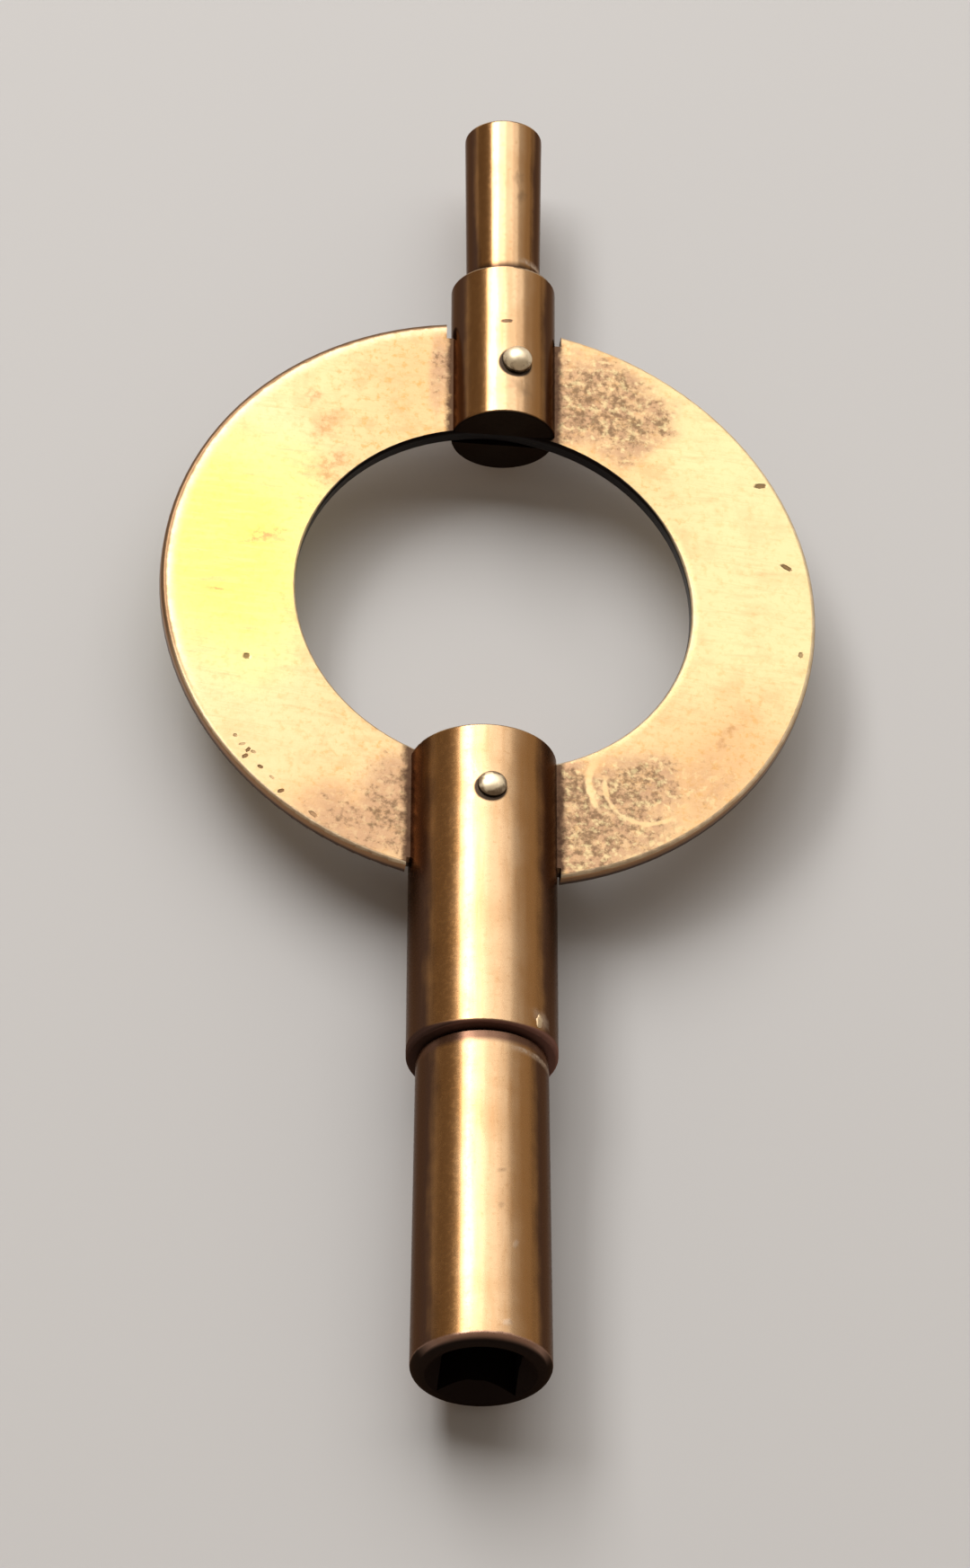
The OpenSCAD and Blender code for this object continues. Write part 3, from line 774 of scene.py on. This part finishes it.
def sleeve_fleck(name, material, x, y, along, around, height, rings=10, sides=28):
    """A fleck of solder on the winding sleeve: a lumpy dome over the sleeve's surface.

    Each ring is an ellipse of points on the sleeve whose outline two waves move, lifted by the square root
    of one less the ring's share squared and by one wave. The first ring is sunk a little, and one point
    closes the top.
    """
    share = np.linspace(1.0, 0.0, rings, endpoint=False)[:, None]
    round_it = np.linspace(0.0, 2 * np.pi, sides, endpoint=False)[None, :]
    lump = 1.0 + 0.16 * np.sin(2 * round_it + 0.7) + 0.10 * np.sin(5 * round_it + 2.1)
    lift = height * (1.15 * np.sqrt(1.0 - share**2) - 0.15) * (1.0 + 0.2 * np.sin(3 * round_it) * share)
    middle, radius = WINDING_SLEEVE.aside, WINDING_SLEEVE.radius
    top_turn = np.arcsin((x - middle) / radius)
    turn = top_turn + around * share * lump * np.sin(round_it) / radius
    places = np.stack([
        middle + (radius + lift) * np.sin(turn),
        y + along * share * lump * np.cos(round_it),
        (radius + lift) * np.cos(turn),
    ], axis=-1).reshape(-1, 3)
    top = [middle + (radius + height) * np.sin(top_turn), y, (radius + height) * np.cos(top_turn)]
    here = np.arange((rings - 1) * sides).reshape(rings - 1, sides)
    beside = np.roll(here, -1, axis=1)
    quads = np.stack([here, here + sides, beside + sides, beside], axis=-1).reshape(-1, 4)
    last = np.arange((rings - 1) * sides, rings * sides)
    fan = np.stack([last, np.full(sides, rings * sides), np.roll(last, -1)], axis=-1)
    mesh = bpy.data.meshes.new(name)
    mesh.from_pydata(np.vstack([places, top]).tolist(), [], quads.tolist() + fan.tolist())
    mesh.polygons.foreach_set("use_smooth", np.ones(len(mesh.polygons), bool))
    mesh.materials.append(material)
    fleck = bpy.data.objects.new(name, mesh)
    bpy.context.scene.collection.objects.link(fleck)
    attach(fleck, "root")


def dress(name, material):
    """Gives a CAD node its finish."""
    for slot in nodes[name].material_slots:
        slot.material = material


dress("bow", bow_brass())
dress("winding_sleeve", turned_brass(
    WINDING_SLEEVE, WINDING_SATIN, pin=WINDING_PIN, lip=0.35 * MM, end=END_SHADE_BROWN, pale=SLEEVE_SMEARS,
))
dress("setting_collar", turned_brass(
    SETTING_COLLAR, SETTING_SATIN, pin=SETTING_PIN, socket=1.9 * MM, dark=COLLAR_MARKS,
))
dress("winding_barrel", turned_brass(
    WINDING_BARREL, WINDING_SATIN, root=WINDING_SLEEVE.low, root_reach=0.60 * MM, root_tone=ROOT_DIRT_AND_SHADE_BROWN,
    socket=2.42 * MM, mouth=True, dark=BARREL_DENTS, pale=BARREL_FLECKS,
))
dress("setting_barrel", turned_brass(
    SETTING_BARREL, SETTING_SATIN, root=SETTING_COLLAR.high, root_reach=0.55 * MM, socket=1.32 * MM,
    dark=TIP_STAINS,
))
dress("winding_pin", pin_brass(WINDING_PIN, worn=0.72))
dress("setting_pin", pin_brass(SETTING_PIN, worn=0.92))

sleeve_fleck(
    "solder_fleck", solder_brass(), x=1.68 * MM, y=-22.00 * MM,
    along=0.30 * MM, around=0.20 * MM, height=0.05 * MM,
)


def studio_floor():
    """A wide pale floor at the key's lowest point: a grid of four corners."""
    corners = np.array([[-1, -1, 0], [1, -1, 0], [1, 1, 0], [-1, 1, 0]], float) * FLOOR_HALF
    corners[:, 2] = cad_box[0].z
    mesh = bpy.data.meshes.new("studio_floor")
    mesh.from_pydata(corners.tolist(), [], [(0, 1, 2, 3)])
    floor = bpy.data.objects.new("studio_floor", mesh)
    bpy.context.scene.collection.objects.link(floor)
    material = bpy.data.materials.new("pale_floor")
    material.use_nodes = True
    shader = material.node_tree.nodes["Principled BSDF"]
    shader.inputs["Base Color"].default_value = FLOOR_GREY
    shader.inputs["Roughness"].default_value = FLOOR_ROUGHNESS
    shader.inputs["Specular IOR Level"].default_value = FLOOR_GLOSS
    mesh.materials.append(material)


def softbox(name, across, back, half_wide, half_high, glow):
    """A flat lamp that faces the key: across turns it about the key's length, back leans it from overhead.

    Its width and height are twice the distance times the tangents of the half angles, the width less by
    the cosine of the lean, and its power is its glow times pi times its area.
    """
    turn, lean = math.radians(across), math.radians(back)
    away = Vector((math.sin(turn) * math.cos(lean), math.sin(lean), math.cos(turn) * math.cos(lean)))
    wide_axis = Vector((math.cos(turn), 0.0, -math.sin(turn)))
    high_axis = away.cross(wide_axis)
    lamp = bpy.data.lights.new(name, "AREA")
    lamp.shape = "RECTANGLE"
    lamp.size = 2 * SOFTBOX_DISTANCE * math.cos(lean) * math.tan(math.radians(half_wide))
    lamp.size_y = 2 * SOFTBOX_DISTANCE * math.tan(math.radians(half_high))
    lamp.energy = glow * math.pi * lamp.size * lamp.size_y
    lamp.color = SOFTBOX_COLOR
    box = bpy.data.objects.new(name, lamp)
    axes = Matrix((wide_axis, high_axis, away)).transposed()
    box.matrix_world = Matrix.Translation(away * SOFTBOX_DISTANCE) @ axes.to_4x4()
    bpy.context.scene.collection.objects.link(box)


def room():
    """The dim, even light of the room."""
    world = bpy.data.worlds.new("room")
    world.use_nodes = True
    background = world.node_tree.nodes["Background"]
    background.inputs["Color"].default_value = ROOM_COLOR
    bpy.context.scene.world = world


def camera():
    """Looks down on the bow from the winding end, turned and placed as the photograph was taken.

    The view turns the key by its roll, then its tilt, then its lean, and then sees the eye's middle at
    middle. The camera's place is minus that point with the turn undone.
    """
    turn = (
        Matrix.Rotation(-VIEW_LEAN, 3, "Z")
        @ Matrix.Rotation(-VIEW_TILT, 3, "X")
        @ Matrix.Rotation(VIEW_ROLL, 3, "Y")
    )
    middle = Vector((VIEW_ASIDE.x, VIEW_ASIDE.y, -VIEW_DISTANCE))
    lens = bpy.data.cameras.new("camera")
    lens.lens = VIEW_LENS
    lens.sensor_width = VIEW_SENSOR
    lens.clip_start = VIEW_NEAREST
    view = bpy.data.objects.new("camera", lens)
    view.matrix_world = Matrix.Translation(-(turn.transposed() @ middle)) @ turn.transposed().to_4x4()
    bpy.context.scene.collection.objects.link(view)
    bpy.context.scene.camera = view


studio_floor()
for lamp_name, place in SOFTBOXES.items():
    softbox(lamp_name, **place)
room()
camera()
bpy.context.scene.view_settings.view_transform = "Standard"
